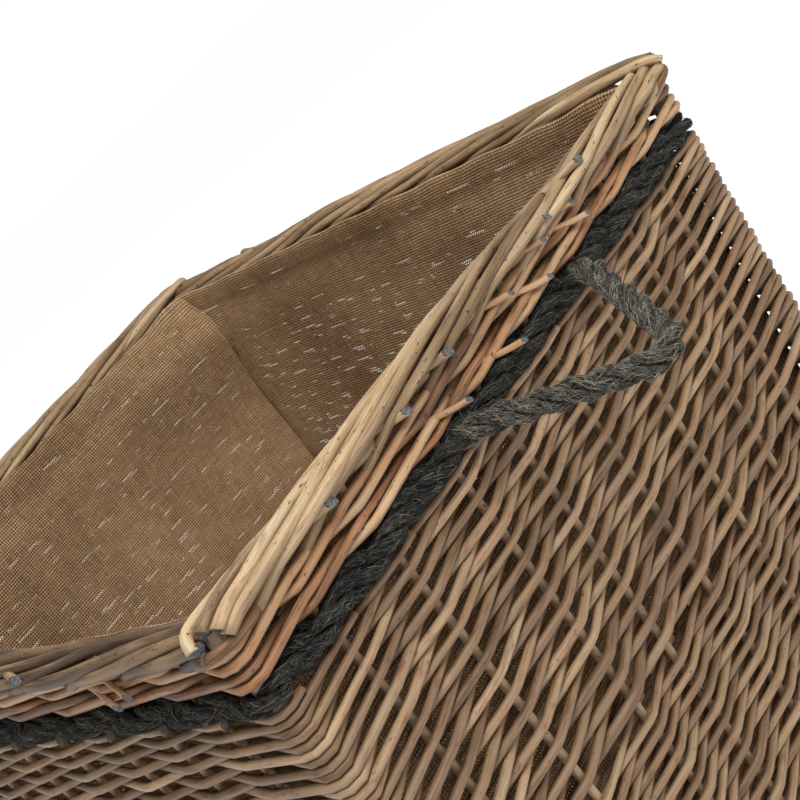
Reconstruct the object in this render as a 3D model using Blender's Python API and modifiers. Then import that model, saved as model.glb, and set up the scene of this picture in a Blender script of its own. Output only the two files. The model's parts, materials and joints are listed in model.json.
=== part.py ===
# Rope handled wicker storage basket with a hessian lining.
# Metres, +Z up. The origin is the middle of the footprint, on the ground. The two ends with
# the handles face +X and -X, and the long sides face +Y and -Y.

import math

import bmesh
import bpy
from mathutils import Matrix, Vector

# Overall size: the middle line of the woven wall at the height of the rim
RIM_LENGTH = 0.560
RIM_WIDTH = 0.500
HEIGHT = 0.460
WALL_LEAN_SHARE = 0.05          # how far the wall leans in for each metre further down

# Gap between pieces that touch
FIT = 0.0003

# Upright willow: side stakes and the four thick corner posts
STAKE_DIAMETER = 0.006
POST_DIAMETER = 0.012
STAKE_FOOT = 0.006              # the lowest point of stakes and posts above the ground
STAKE_SIDES = 6
POST_SIDES = 10
END_STAKE_SHARES = (-0.80, -0.568, -0.308, -0.114, 0.124, 0.366, 0.60, 0.80)
SIDE_STAKE_COUNT = 9

# Woven bands, from the ground up
FOOT_WALE_HEIGHT = 0.030
LOWER_RAND_HEIGHT = 0.177
ROPE_BAND_HEIGHT = 0.0165
TOP_WALE_HEIGHT = 0.026
BORDER_HEIGHT = 0.020

# Half thickness of each band, measured from the middle line of the wall
RAND_HALF = 0.0075
WALE_HALF = 0.0085
FOOT_WALE_HALF = 0.009
ROPE_BAND_OUT = 0.013
ROPE_BAND_IN = 0.011
BORDER_HALF = 0.014
OVAL_SIDES = 10                 # twice an odd number, so that the oval has a flat top
WALE_STRAND_COUNT = 4
WALE_GROOVE = 0.0016
RAND_COURSE_COUNT = 10          # swells of the outer face at a stake, one above the other
RAND_GROOVE = 0.0034            # between two swells
RAND_DIP = 0.0055               # how far the outer face draws in half way between two uprights
RAND_POST_SHARE = 0.4           # of the groove, at a corner post, which leaves less room for it

# Rounding of the basket's corners, on the middle line of the wall
CORNER_RADIUS = 0.0085
CORNER_GROWTH_SHARE = 0.47      # how much of an outward offset the corner radius takes up
POST_INSET = 0.0025             # from the sharp corner of the middle line to the post, each way
CORNER_STEPS = 4

# Base
BASE_BOTTOM = 0.010
BASE_THICKNESS = 0.014
BASE_CORNER_RADIUS = 0.006
BASE_STICK_DIAMETER = 0.008
BASE_STICK_COUNT = 7
BASE_STICK_SPREAD_SHARE = 0.86  # of the base's half width, out to the last stick
BASE_STICK_REST = 0.0042        # how deep a stick's end sits in the foot wale
BASE_STICK_SIDES = 8

# Hessian lining
LINING_THICKNESS = 0.0012
LINING_DROP = 0.011             # from the crest of the border down to the folded hem
LINING_EASE = 0.0006            # slack between the cloth and the innermost weave
LINING_RAND_SLACK = 0.0018      # how far the cloth hangs off the two rands
LINING_FOLD = 0.006             # rounding where the walls turn into the floor

# Rope handles
ROPE_DIAMETER = 0.014
HANDLE_SPAN = 0.136             # between the two places where the rope leaves the band
HANDLE_REACH = 0.078            # from the line through those two places to the bend
HANDLE_BEND_RADIUS = 0.020
HANDLE_OFFSET = 0.011           # from the middle of the basket's end to the handle's middle
HANDLE_DROOP = math.radians(20.0)
HANDLE_BEND_STEPS = 8
HANDLE_LEG_STEPS = 4
HANDLE_END_STEPS = 3

# Heights where one band ends and the next begins
LOWER_RAND_TOP = FOOT_WALE_HEIGHT + LOWER_RAND_HEIGHT
BORDER_FOOT = HEIGHT - BORDER_HEIGHT
TOP_WALE_FOOT = BORDER_FOOT - TOP_WALE_HEIGHT
ROPE_BAND_FOOT = TOP_WALE_FOOT - ROPE_BAND_HEIGHT
ROPE_LINE = ROPE_BAND_FOOT + ROPE_BAND_HEIGHT / 2
STAKE_TOP = HEIGHT - BORDER_HEIGHT / 2
BASE_TOP = BASE_BOTTOM + BASE_THICKNESS

BUFF_WILLOW = (0.38, 0.235, 0.12, 1.0)
PALE_WILLOW = (0.60, 0.43, 0.24, 1.0)
RED_WILLOW = (0.30, 0.135, 0.055, 1.0)
GREY_WILLOW = (0.42, 0.35, 0.27, 1.0)
CHARCOAL_JUTE = (0.035, 0.034, 0.032, 1.0)
BROWN_HESSIAN = (0.20, 0.115, 0.05, 1.0)


def clear_scene():
    """Empties the file that the script is run in."""
    for item in list(bpy.data.objects):
        bpy.data.objects.remove(item, do_unlink=True)


def collection(name):
    """Makes a collection in the scene."""
    made = bpy.data.collections.new(name)
    bpy.context.scene.collection.children.link(made)
    return made


def add_object(name, data, group):
    """Puts a mesh, a curve or an empty into a collection under a name."""
    made = bpy.data.objects.new(name, data)
    group.objects.link(made)
    return made


def finish(made, colour, roughness):
    """Gives a piece its own material."""
    own = bpy.data.materials.new(made.name + "_finish")
    own.use_nodes = True
    shader = own.node_tree.nodes["Principled BSDF"]
    shader.inputs["Base Color"].default_value = colour
    shader.inputs["Roughness"].default_value = roughness
    shader.inputs["Metallic"].default_value = 0.0
    own.diffuse_color = colour
    made.data.materials.append(own)


def smooth(made):
    """Shades a round piece smooth, apart from its sharp edges."""
    made.data.shade_smooth()
    made.data.set_sharp_from_angle(angle=math.radians(40.0))


def mesh_data(name, mesh):
    """Turns a bmesh into mesh data with its faces pointing out."""
    bmesh.ops.recalc_face_normals(mesh, faces=mesh.faces)
    data = bpy.data.meshes.new(name)
    mesh.to_mesh(data)
    mesh.free()
    return data


def cut_with(made, cutter):
    """Cuts a piece with a cutter."""
    cut = made.modifiers.new(cutter.name, "BOOLEAN")
    cut.operation = "DIFFERENCE"
    cut.solver = "EXACT"
    cut.object = cutter


def half_length(z):
    """Half the length along X of the wall's middle line at a height."""
    return RIM_LENGTH / 2 - WALL_LEAN_SHARE * (HEIGHT - z)


def half_width(z):
    """Half the width along Y of the wall's middle line at a height."""
    return RIM_WIDTH / 2 - WALL_LEAN_SHARE * (HEIGHT - z)


def rounded_rectangle(half_x, half_y, radius, z):
    """Points of a rounded rectangle at a height, anticlockwise seen from above."""
    points = []
    for quarter, (side_x, side_y) in enumerate(((1, 1), (-1, 1), (-1, -1), (1, -1))):
        for step in range(CORNER_STEPS + 1):
            angle = math.pi / 2 * (quarter + step / CORNER_STEPS)
            points.append(Vector((
                side_x * (half_x - radius) + radius * math.cos(angle),
                side_y * (half_y - radius) + radius * math.sin(angle),
                z)))
    return points


def wall_outline(offset, z):
    """Outline of the wall at a height, a distance outside its middle line."""
    radius = CORNER_RADIUS + CORNER_GROWTH_SHARE * offset
    return rounded_rectangle(half_length(z) + offset, half_width(z) + offset, radius, z)


def loft(mesh, rows, closed=False):
    """Joins each row of points to the next with quads, and the last to the first if closed."""
    made = [[mesh.verts.new(point) for point in row] for row in rows]
    pairs = list(zip(made, made[1:]))
    if closed:
        pairs.append((made[-1], made[0]))
    for lower, upper in pairs:
        for i, j in zip(range(len(lower)), [*range(1, len(lower)), 0]):
            mesh.faces.new((lower[i], lower[j], upper[j], upper[i]))
    return made


def band(name, profile, group):
    """A woven band: a profile of offsets and heights carried round the basket's wall."""
    mesh = bmesh.new()
    loft(mesh, [wall_outline(offset, z) for offset, z in profile], closed=True)
    made = add_object(name, mesh_data(name, mesh), group)
    smooth(made)
    return made


def flat_profile(foot, top, half):
    """Profile of a band with flat faces."""
    return [(half, foot), (half, top), (-half, top), (-half, foot)]


def oval_profile(foot, top, inner, outer, sides):
    """Profile of a band with an oval section that is flat at its top and its foot."""
    middle = (outer - inner) / 2
    half = (outer + inner) / 2
    tall = (top - foot) / 2 / math.cos(math.pi / sides)
    angles = [2 * math.pi * side / sides for side in range(sides)]
    return [
        (middle + half * math.cos(angle), (foot + top) / 2 + tall * math.sin(angle))
        for angle in angles]


def strand_profile(foot, top, half, strands, groove):
    """Profile of a band whose outer face shows strands one above the other."""
    pitch = (top - foot) / strands
    points = []
    for strand in range(strands):
        bottom = foot + strand * pitch
        points += [(half - groove, bottom), (half, bottom + pitch / 3), (half, bottom + pitch * 2 / 3)]
    return points + [(half - groove, top), (-half, top), (-half, foot)]


def side_shares(stake_shares):
    """Places along a side, as shares of its half length, from one corner post to the next.

    They are each stake, and each middle between two uprights.
    """
    uprights = [-1.0, *stake_shares, 1.0]
    places = []
    for before, after in zip(uprights, uprights[1:]):
        places += [((before + after) / 2, False), (after, True)]
    return places[:-1]


def woven_outline(z, corner, stake, between):
    """Outline of a woven wall at a height: its offsets at the corners, at the stakes and between them."""
    rounded = wall_outline(corner, z)
    per_corner = CORNER_STEPS + 1
    points = []
    for quarter in range(4):
        points += rounded[quarter * per_corner:(quarter + 1) * per_corner]
        out = Vector((-math.sin(math.pi / 2 * quarter), math.cos(math.pi / 2 * quarter), 0.0))
        ahead = Vector((-out.y, out.x, 0.0))
        on_end = quarter % 2 == 1
        away, half_side = (half_length(z), half_width(z)) if on_end else (half_width(z), half_length(z))
        for share, at_stake in side_shares(END_STAKE_SHARES if on_end else side_stake_shares()):
            offset = stake if at_stake else between
            points.append(out * (away + offset) + ahead * share * half_side + Vector((0.0, 0.0, z)))
    return points


def woven_band(name, foot, top, group):
    """A band of rand. Its outer face swells where a rod passes a stake and dips between two uprights."""
    pitch = (top - foot) / RAND_COURSE_COUNT
    at_post = RAND_HALF - RAND_GROOVE * RAND_POST_SHARE
    at_groove = RAND_HALF - RAND_GROOVE
    between = RAND_HALF - RAND_DIP
    rows = []
    for course in range(RAND_COURSE_COUNT + 1):
        z = foot + course * pitch
        rows.append(woven_outline(z, at_post, at_groove, between))
        if course < RAND_COURSE_COUNT:
            rows.append(woven_outline(z + pitch / 2, RAND_HALF, RAND_HALF, between))
    rows += [woven_outline(z, -RAND_HALF, -RAND_HALF, -RAND_HALF) for z in (top, foot)]
    mesh = bmesh.new()
    loft(mesh, rows, closed=True)
    return add_object(name, mesh_data(name, mesh), group)


def along(start, end):
    """Placement of a round rod whose own axis is Z, between two points."""
    turn = (end - start).to_track_quat("Z", "Y").to_matrix().to_4x4()
    return Matrix.Translation((start + end) / 2) @ turn


def add_cylinder(mesh, start, end, diameter, sides, spare=0.0):
    """Adds a straight round rod, longer at each end and wider all round by the spare."""
    radius = diameter / 2 + spare / math.cos(math.pi / sides)
    bmesh.ops.create_cone(
        mesh, cap_ends=True, segments=sides, radius1=radius, radius2=radius,
        depth=(end - start).length + 2 * spare, matrix=along(start, end))


def rod(name, start, end, diameter, sides, group):
    """A straight rod with its origin at its middle and its own Z along it."""
    mesh = bmesh.new()
    half = Vector((0, 0, (end - start).length / 2))
    add_cylinder(mesh, -half, half, diameter, sides)
    made = add_object(name, mesh_data(name, mesh), group)
    made.matrix_world = along(start, end)
    smooth(made)
    return made


def channel_cutter(name, runs, diameter, sides, group):
    """Cutter for the channels that straight rods of one diameter sit in."""
    mesh = bmesh.new()
    for start, end in runs:
        add_cylinder(mesh, start, end, diameter, sides, spare=FIT)
    made = add_object(name, mesh_data(name, mesh), group)
    made.hide_render = True
    made.display_type = "WIRE"
    return made


def wall_line(share_x, share_y, inset):
    """Foot and top of an upright at shares of the wall's half length and half width."""
    ends = []
    for z in (STAKE_FOOT, STAKE_TOP):
        ends.append(Vector((
            share_x * (half_length(z) - inset), share_y * (half_width(z) - inset), z)))
    return tuple(ends)


def side_stake_shares():
    """Places of the stakes in a long side, as shares of its half length."""
    return [2 * i / (SIDE_STAKE_COUNT + 1) - 1 for i in range(1, SIDE_STAKE_COUNT + 1)]


def stake_lines():
    """Every side stake's name with its foot and top."""
    lines = {}
    for i, share in enumerate(END_STAKE_SHARES, 1):
        lines[f"stake_right_{i}"] = wall_line(1, share, 0.0)
        lines[f"stake_left_{i}"] = wall_line(-1, -share, 0.0)
    for i, share in enumerate(side_stake_shares(), 1):
        lines[f"stake_back_{i}"] = wall_line(share, 1, 0.0)
        lines[f"stake_front_{i}"] = wall_line(share, -1, 0.0)
    return lines


def post_lines():
    """Every corner post's name with its foot and top."""
    corners = {"back_right": (1, 1), "back_left": (-1, 1), "front_left": (-1, -1), "front_right": (1, -1)}
    return {
        "corner_post_" + name: wall_line(side_x, side_y, POST_INSET)
        for name, (side_x, side_y) in corners.items()}


def base_stick_lines():
    """Every base stick's name with its two ends, which rest in the foot wale."""
    z = BASE_BOTTOM + BASE_THICKNESS / 2
    reach = half_length(z) - FOOT_WALE_HALF + BASE_STICK_REST
    spread = BASE_STICK_SPREAD_SHARE * (half_width(z) - FOOT_WALE_HALF)
    lines = {}
    for i in range(BASE_STICK_COUNT):
        y = spread * (2 * i / (BASE_STICK_COUNT - 1) - 1)
        lines[f"base_stick_{i + 1}"] = (Vector((-reach, y, z)), Vector((reach, y, z)))
    return lines


def build_uprights(group, cutters):
    """The stakes and the corner posts, and the cutters for their channels."""
    stakes = stake_lines()
    posts = post_lines()
    for name, (foot, top) in stakes.items():
        finish(rod(name, foot, top, STAKE_DIAMETER, STAKE_SIDES, group), BUFF_WILLOW, 0.6)
    for name, (foot, top) in posts.items():
        finish(rod(name, foot, top, POST_DIAMETER, POST_SIDES, group), GREY_WILLOW, 0.65)
    return [
        channel_cutter("stake_channels", stakes.values(), STAKE_DIAMETER, STAKE_SIDES, cutters),
        channel_cutter("post_channels", posts.values(), POST_DIAMETER, POST_SIDES, cutters)]


def build_bands(group, channels, stick_channels):
    """The woven bands from the foot wale up to the rolled border."""
    foot = band("foot_wale", flat_profile(0.0, FOOT_WALE_HEIGHT, FOOT_WALE_HALF), group)
    lower = woven_band("lower_rand", FOOT_WALE_HEIGHT + FIT, LOWER_RAND_TOP, group)
    upper = woven_band("upper_rand", LOWER_RAND_TOP + FIT, ROPE_BAND_FOOT, group)
    rope = band("rope_band", oval_profile(
        ROPE_BAND_FOOT + FIT, TOP_WALE_FOOT, ROPE_BAND_IN, ROPE_BAND_OUT, OVAL_SIDES), group)
    wale = band("top_wale", strand_profile(
        TOP_WALE_FOOT + FIT, BORDER_FOOT, WALE_HALF, WALE_STRAND_COUNT, WALE_GROOVE), group)
    border = band("border", oval_profile(
        BORDER_FOOT + FIT, HEIGHT, BORDER_HALF, BORDER_HALF, OVAL_SIDES), group)
    for made in (foot, lower, upper, rope, wale, border):
        for cutter in channels:
            cut_with(made, cutter)
    cut_with(foot, stick_channels)
    finish(foot, BUFF_WILLOW, 0.6)
    finish(lower, BUFF_WILLOW, 0.6)
    finish(upper, BUFF_WILLOW, 0.6)
    finish(rope, CHARCOAL_JUTE, 0.95)
    finish(wale, RED_WILLOW, 0.55)
    finish(border, PALE_WILLOW, 0.5)


def build_base(group, cutters):
    """The woven base and its sticks, and the cutter for the sticks' channels."""
    sticks = base_stick_lines()
    for name, (start, end) in sticks.items():
        made = rod(name, start, end, BASE_STICK_DIAMETER, BASE_STICK_SIDES, group)
        finish(made, GREY_WILLOW, 0.65)
    channels = channel_cutter(
        "base_stick_channels", sticks.values(), BASE_STICK_DIAMETER, BASE_STICK_SIDES, cutters)
    inside = FOOT_WALE_HALF + FIT
    mesh = bmesh.new()
    rows = loft(mesh, [
        rounded_rectangle(
            half_length(BASE_BOTTOM) - inside, half_width(BASE_BOTTOM) - inside,
            BASE_CORNER_RADIUS, z)
        for z in (BASE_BOTTOM, BASE_TOP)])
    for row in rows:
        mesh.faces.new(row)
    made = add_object("base_weave", mesh_data("base_weave", mesh), group)
    cut_with(made, channels)
    finish(made, BUFF_WILLOW, 0.6)
    return channels


def build_lining(group):
    """The hessian bag: its wall follows the inner faces of the bands and the border.

    Its floor lies on the base.
    """
    floor = BASE_TOP + FIT
    against_wale = -(WALE_HALF + LINING_EASE)
    against_rope = -(ROPE_BAND_IN + LINING_EASE)
    against_rand = -(RAND_HALF + LINING_RAND_SLACK)
    against_border = -(BORDER_HALF + LINING_EASE)
    rope_quarter = ROPE_BAND_HEIGHT / 4
    profile = [
        (against_rand - LINING_FOLD, floor),
        (against_rand - LINING_FOLD / 3, floor + LINING_FOLD / 3),
        (against_rand, floor + LINING_FOLD),
        (against_rand, LOWER_RAND_TOP),
        (against_rand, ROPE_BAND_FOOT - ROPE_BAND_HEIGHT),
        (against_rope, ROPE_LINE - rope_quarter),
        (against_rope, ROPE_LINE + rope_quarter),
        (against_wale, TOP_WALE_FOOT + rope_quarter),
        (against_wale, BORDER_FOOT - BORDER_HEIGHT / 4),
        (against_border, BORDER_FOOT + BORDER_HEIGHT / 4),
        (against_border, HEIGHT - LINING_DROP)]
    mesh = bmesh.new()
    rows = loft(mesh, [wall_outline(offset, z) for offset, z in profile])
    mesh.faces.new(reversed(rows[0]))
    made = add_object("lining", mesh_data("lining", mesh), group)
    wall = made.modifiers.new("cloth", "SOLIDIFY")
    wall.thickness = LINING_THICKNESS
    wall.offset = -1.0
    wall.use_even_offset = True
    smooth(made)
    finish(made, BROWN_HESSIAN, 0.9)


def handle_line():
    """The rope's middle line in its own flat plane, from one root over the bend to the other.

    X is the reach away from the wall. Two straight legs lean together and meet in an arc.
    """
    root = Vector((0.0, -HANDLE_SPAN / 2, 0.0))
    lean = math.atan2(HANDLE_SPAN / 2, HANDLE_REACH)
    arc_x = HANDLE_REACH - HANDLE_BEND_RADIUS
    sweep = math.pi / 2 - lean
    # the leg touches the arc where the arc's radius stands square to it
    for _ in range(HANDLE_BEND_STEPS):
        touch = Vector((
            arc_x + HANDLE_BEND_RADIUS * math.cos(sweep), -HANDLE_BEND_RADIUS * math.sin(sweep), 0.0))
        leg = touch - root
        sweep = math.pi / 2 - math.atan2(leg.y, leg.x)
    points = [root.lerp(touch, step / HANDLE_LEG_STEPS) for step in range(HANDLE_LEG_STEPS)]
    for step in range(HANDLE_BEND_STEPS + 1):
        angle = sweep * (2 * step / HANDLE_BEND_STEPS - 1)
        points.append(Vector((
            arc_x + HANDLE_BEND_RADIUS * math.cos(angle), HANDLE_BEND_RADIUS * math.sin(angle), 0.0)))
    mirrored = [Vector((point.x, -point.y, 0.0)) for point in points[:HANDLE_LEG_STEPS]]
    return points + mirrored[::-1]


def rounded_ends(points):
    """Adds a half ball to both ends of a line, as points that each carry a share of the radius."""
    radius = ROPE_DIAMETER / 2
    shares = [(point, 1.0) for point in points]
    for first, second, add in (
            (points[0], points[1], lambda item: shares.insert(0, item)),
            (points[-1], points[-2], shares.append)):
        back = (first - second).normalized()
        for step in range(1, HANDLE_END_STEPS + 1):
            angle = math.pi / 2 * step / (HANDLE_END_STEPS + 0.25)
            add((first + back * radius * math.sin(angle), math.cos(angle)))
    return shares


def build_handle(name, turn, group):
    """One rope handle, hung on an empty that lies on the line its two roots swing about."""
    pivot = add_object(name + "_pivot", None, group)
    reach = half_length(ROPE_LINE) + ROPE_BAND_OUT + ROPE_DIAMETER / 2 + FIT
    pivot.location = Matrix.Rotation(turn, 3, "Z") @ Vector((reach, HANDLE_OFFSET, ROPE_LINE))
    pivot.rotation_euler = (0.0, 0.0, turn)
    rope = bpy.data.curves.new(name, "CURVE")
    rope.dimensions = "3D"
    rope.bevel_depth = ROPE_DIAMETER / 2
    rope.bevel_resolution = 3
    rope.use_fill_caps = True
    line = rounded_ends(handle_line())
    spline = rope.splines.new("POLY")
    spline.points.add(len(line) - 1)
    for place, (point, share) in zip(spline.points, line):
        place.co = (*point, 1.0)
        place.radius = share
    made = add_object(name, rope, group)
    made.parent = pivot
    made.rotation_euler = (0.0, HANDLE_DROOP, 0.0)
    finish(made, CHARCOAL_JUTE, 0.95)


def main():
    """Builds the basket."""
    clear_scene()
    group = collection("wicker_basket")
    cutters = collection("cutters")
    channels = build_uprights(group, cutters)
    stick_channels = build_base(group, cutters)
    build_bands(group, channels, stick_channels)
    build_lining(group)
    build_handle("handle_right", 0.0, group)
    build_handle("handle_left", math.pi, group)


main()
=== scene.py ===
# The looks of a rope handled wicker storage basket: every rod, rope and cloth around its frame.
# Metres, +Z up, in the frame's own axes.

import json
import math

import bpy
import numpy as np
from mathutils import Matrix, Vector


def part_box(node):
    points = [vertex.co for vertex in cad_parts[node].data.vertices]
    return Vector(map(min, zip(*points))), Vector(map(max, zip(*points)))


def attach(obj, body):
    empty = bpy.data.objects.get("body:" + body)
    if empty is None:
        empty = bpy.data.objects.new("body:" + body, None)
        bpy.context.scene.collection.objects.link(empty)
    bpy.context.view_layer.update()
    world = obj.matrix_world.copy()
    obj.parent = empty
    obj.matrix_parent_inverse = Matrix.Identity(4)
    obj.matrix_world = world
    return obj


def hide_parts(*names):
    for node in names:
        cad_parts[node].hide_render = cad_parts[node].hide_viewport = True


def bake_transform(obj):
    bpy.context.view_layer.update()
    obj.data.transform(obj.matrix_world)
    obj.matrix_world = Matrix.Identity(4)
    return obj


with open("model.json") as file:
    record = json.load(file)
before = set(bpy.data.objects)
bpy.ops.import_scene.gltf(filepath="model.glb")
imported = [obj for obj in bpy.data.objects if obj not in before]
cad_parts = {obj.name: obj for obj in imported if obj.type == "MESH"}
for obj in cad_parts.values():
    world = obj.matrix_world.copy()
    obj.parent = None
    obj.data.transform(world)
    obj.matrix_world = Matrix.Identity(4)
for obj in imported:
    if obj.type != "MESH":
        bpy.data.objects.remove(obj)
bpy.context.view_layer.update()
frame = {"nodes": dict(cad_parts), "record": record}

UP = np.array([0.0, 0.0, 1.0])
TURN = 2 * math.pi

# Camera, as it stood for the photograph
CAMERA_PLACE = (0.9065, -0.579, 0.702)
CAMERA_HEADING = math.radians(141.32)  # of the line of sight, anticlockwise from +X
CAMERA_DIP = math.radians(17.78)  # of the line of sight, below the horizon
CAMERA_ROLL = math.radians(38.86)
CAMERA_LENS = 73.0  # millimetres, on a sensor 36 wide

# Studio
ROOM_LIGHT = 0.5  # of the white room, which the camera sees at 1
FLOOR_HALF, FLOOR_TONE, FLOOR_GLOW = 6.0, 0.62, 0.66
LAMP_PLACE, LAMP_AIM = (0.8, -0.2, 1.75), (0.1, 0.0, 0.4)
LAMP_SIZE, LAMP_POWER = 1.4, 35.0

# Willow. A taper is a rod's thickness at its butt and at its tip, to its mean one. A spread is how far
# random thicknesses stray from 1, inside limits. A shake moves heights, and a sway is a share of a reach.
ROD_SIDES = 9
GRAIN_SPREAD = 50.0  # length of grain from which each rod takes its own stretch
STAKE_THICK, POST_THICK = 0.0058, 0.0125
UPRIGHT_RINGS, UPRIGHT_SHAKE, UPRIGHT_TAPER = 24, 0.00018, (1.03, 0.92)
HUG = 0.0025  # half of the stretch that a rod runs straight past a stake
CORNER_BEND = 0.0035  # bend of a rod that turns a corner inside the post
BASE_STICK_THICK, BASE_STICK_RINGS, BASE_STICK_SHAKE = 0.0075, 40, 0.0002
BASE_ROD_THICK, BASE_ROD_RINGS, BASE_ROD_SHAKE = 0.0043, 57, 0.0003
BASE_ROD_PITCH = 1.06  # from rod to rod, in thicknesses
BASE_ROD_SWING = 0.83  # share of its reach that a rod swings over and under a stick
BASE_ROD_SHORT = 0.001  # at each end
RAND_THICK = (0.0065, 0.0048)  # of a rod, at its butt and at its tip
RAND_PITCH = (1.25, 0.75)  # of the lowest and the highest layers, to the mean one
RAND_SPREAD, RAND_LIMITS, RAND_SHAKE, RAND_SWAY = 0.07, (0.85, 1.15), 0.00035, 0.04
RAND_ENDS = (0.018, 0.010)  # that show before the first and after the last upright
UPPER_LAYERS, LOWER_LAYERS = 30, 29
WALE_THICK, FOOT_WALE_THICK, WALE_TAPER = 0.0054, 0.0068, (1.06, 0.92)
WALE_SHAKE, WALE_SWAY, WALE_ROUNDS = 0.0004, 0.05, 2
WALE_REST = 1.08  # least height of a rod's middle above the wale's foot, in half thicknesses
WALE_HIDDEN = 0.012  # of a rod's ends past their uprights

# Border, a roll of rods that wind over the rim as they run along it
BORDER_THICK, BORDER_TAPER = 0.0067, (1.04, 0.92)
BORDER_SPREAD, BORDER_LIMITS = 0.06, (0.90, 1.10)
BORDER_KNOTS, BORDER_SHAKE = 9, 0.0004  # places along a rod that stray out and up
BORDER_STEP = 0.005  # between the rings of a rod
BORDER_SPACINGS = 5.5  # uprights that a rod passes from its own to the roll's foot inside
BORDER_START = math.radians(-70)  # from level, outside
BORDER_SWEEP = math.radians(270)
BORDER_UNDER = math.radians(90)  # further turn, out of sight under the roll
BORDER_RISE = 0.048  # of a rod from its stake into the roll
CORNER_DIP = 0.0050  # of a side's roll under the start of the next one
CORNER_RUN = 0.240  # length of the end that lies lower
CORNER_SLOPE = 0.110  # distance along which it goes down
CORNER_DROOP = 0.0035  # of the cut ends that start a side
DROOP_FROM, DROOP_RUN = -0.010, 0.025  # where along the side that starts to fade, and in what distance
CORNER_SPARE = 0.120  # rods with less than this left to go stop at the corner
CORNER_POKE = (-0.003, 0.010)  # how far cut ends stand out past a corner
CORNER_STRAY = (-0.004, 0.004)  # of the ends under the next side's roll
# Along a side, out of the wall's middle line and above the crest: the last rod of the roll's start,
# and the wale's rod that turns the corner under it
CORNER_HOOK = ((-0.0128, 0.0005, -0.0105), (-0.0100, -0.0030, -0.0070), (-0.0050, -0.0065, -0.0050),
               (0.0040, -0.0080, -0.0045), (0.0180, -0.0082, -0.0048), (0.0320, -0.0082, -0.0050),
               (0.0600, -0.0088, -0.0065), (0.1000, -0.0095, -0.0100), (0.1250, -0.0090, -0.0155))
CORNER_TURN = ((0.0020, -0.0360, -0.0300), (-0.0050, -0.0200, -0.0245), (-0.0105, -0.0050, -0.0195),
               (-0.0070, 0.0055, -0.0178), (0.0040, 0.0088, -0.0184), (0.0160, 0.0068, -0.0195),
               (0.0300, 0.0010, -0.0215))
# Tone ranges of the border's rods by side, as painted light and shade: the right side is painted lightest, as
# if lit, and the front darkest, as if in shade.
BORDER_PAINTED_LIGHT_TONES = {"right": (0.15, 0.95), "back": (0.05, 0.6), "left": (0.0, 0.6), "front": (-0.4, 0.1)}

# Cut ends that show on the side nearest the camera, as distances along it and below the crest. On each
# other side a number of them lie at random distances, this far from the corners, and in a span of heights.
BORDER_ENDS = ((0.0893, 0.0142), (0.1613, 0.0168), (0.2078, 0.0155), (0.3308, 0.0132), (0.3807, 0.0068))
WALE_ENDS = ((0.1998, 0.0420), (0.2582, 0.0478), (0.2717, 0.0245), (0.3047, 0.0378), (0.3175, 0.0208),
             (0.3553, 0.0206), (0.3617, 0.0332))
MARGIN = 0.08
OTHER_BORDER_ENDS, OTHER_WALE_ENDS = (4, 0.007, 0.014), (6, 0.021, 0.045)
# A cut end's way, back along the side and in from the cut, and its share of the height to its root
END_WAY = ((-0.036, -0.0110, 1.0), (-0.024, -0.0085, 0.65), (-0.011, -0.0042, 0.25), (0.0, 0.0, 0.0))
BORDER_END_HALF, BORDER_END_IN, BORDER_END_ROOT = 0.40 * BORDER_THICK, 0.0010, 0.002
WALE_END_HALF, WALE_END_OUT, WALE_END_RISE = 0.0019, 0.0120, 0.0120

# Rope
ROPE_HALF = 0.0076
LAY = 0.054  # length in which a strand goes round the rope once
# A strand's distance from the rope's middle and its own half thickness, as shares of the rope's half
STRAND_AWAY_SHARE, STRAND_SHARE = 0.57, 0.46
YARNS, YARN_LAY, YARN_DEPTH = 5, 0.030, 0.13  # of a strand, their own lay, and share that they are cut in
BAND_OUT, BAND_IN = 0.0058, 0.0045  # from the stakes' middles to the rope's
BAND_CROSS = 0.0036  # rise of one rope over the other half way between stakes
BAND_SQUEEZE = 0.13  # share that both ropes lose there
BAND_STEP, BAND_RUNS = 0.0032, 10  # between the rings of a strand, and first points per upright
LOOP_SPAN = 0.136
LOOP_REACH = 0.078
LOOP_BEND = 0.020
LOOP_DROOP = math.radians(20)
LOOP_OFFSET = 0.011  # from the middle of the basket's end
LOOP_STEP = 0.002
LOOP_TUCK = ((-0.0220, 0.0095), (-0.0150, 0.0065), (-0.0075, 0.0030))  # into the wall, and away from the loop
FIBRE_FACING = 1.9  # angle either way from a strand's outermost line, in radians
FIBRE_SINK = 0.97  # of a strand's half thickness, where its fibres start
BAND_HAIRS = [dict(count=9900, longest=0.010, thick=0.00026, lift=0.18, facing=-0.1)]
BAND_FLUFF = [dict(count=4800, longest=0.010, thick=0.00022, lift=0.30, turn=1.4, facing=-0.1),
              dict(count=420, longest=0.016, thick=0.00016, lift=1.6, turn=1.2, steps=6, facing=-0.1)]
LOOP_HAIRS = [dict(count=6900, longest=0.008, thick=0.00018, lift=0.22, turn=1.3),
              dict(count=300, longest=0.014, thick=0.00016, lift=1.6, turn=1.2, steps=6)]

# Lining. Depths are distances down the cloth from the hem's hidden edge, and slopes are distances in
# which something fades or grows.
THREAD = 0.0022  # from one thread of the cloth to the next
PORE = 0.50  # height of the threads' sines below which there is a pore
CLOTH_CELL = 0.005
LINING_COLUMNS, CORNER_COLUMNS = 88, 8  # along each side, and round each corner
COLUMN_CROWD = 0.72  # of the first towards the corners
CORNER_ROUND, ROUND_SLOPE = (0.003, 0.005), 0.06  # radius of the corners at the hem and below it
HEM_DROP = 0.0115  # below the crest
HEM_DEPTH = 0.028  # finely meshed stretch of the wall
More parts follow.
